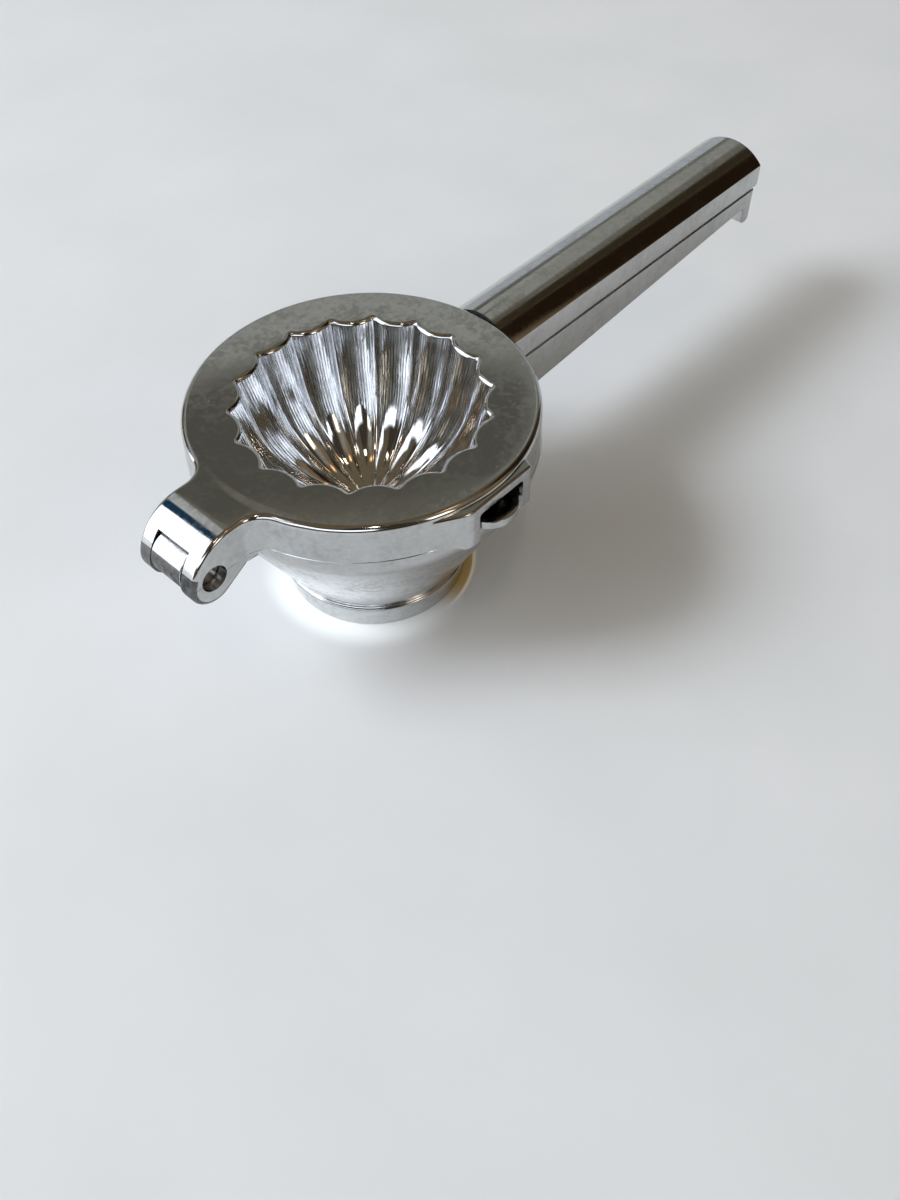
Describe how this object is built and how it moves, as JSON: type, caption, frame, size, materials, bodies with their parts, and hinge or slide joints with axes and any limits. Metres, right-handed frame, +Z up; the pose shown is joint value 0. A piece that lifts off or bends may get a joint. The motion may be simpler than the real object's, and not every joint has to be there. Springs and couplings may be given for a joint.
{
  "type": "hinged lemon squeezer",
  "caption": "Free-standing chrome hinged citrus press: round bowl with foot and pouring lip, fluted press lid on a fork hinge, and two channel handles squeezed together by hand.",
  "frame": {"origin": "centre of the foot, on the table surface that the squeezer stands on", "axes": "+Z up; +X from the bowl along the closed handles to their ends; the hinge is at -X and the pouring spout faces -Y"},
  "size_m": [0.2148, 0.0882, 0.0554],
  "materials": {
    "chromed_lid": "chrome plate on a zinc casting, mirror-polished top, satin flutes",
    "chromed_bowl": "chrome plate on a zinc casting with a mottled as-cast skin",
    "steel_pin": "plain steel, dark in its bores"
  },
  "bodies": {
    "lower": {"juice_bowl": "chromed_bowl"},
    "upper": {"press_lid": "chromed_lid", "hinge_pin": "steel_pin"}
  },
  "joints": [
    {"name": "lid_hinge", "type": "hinge", "parent": "lower", "child": "upper", "pos_m": [-0.0542, 0, 0.045], "axis": [0, -1, 0], "range_deg": [0, 165]}
  ]
}
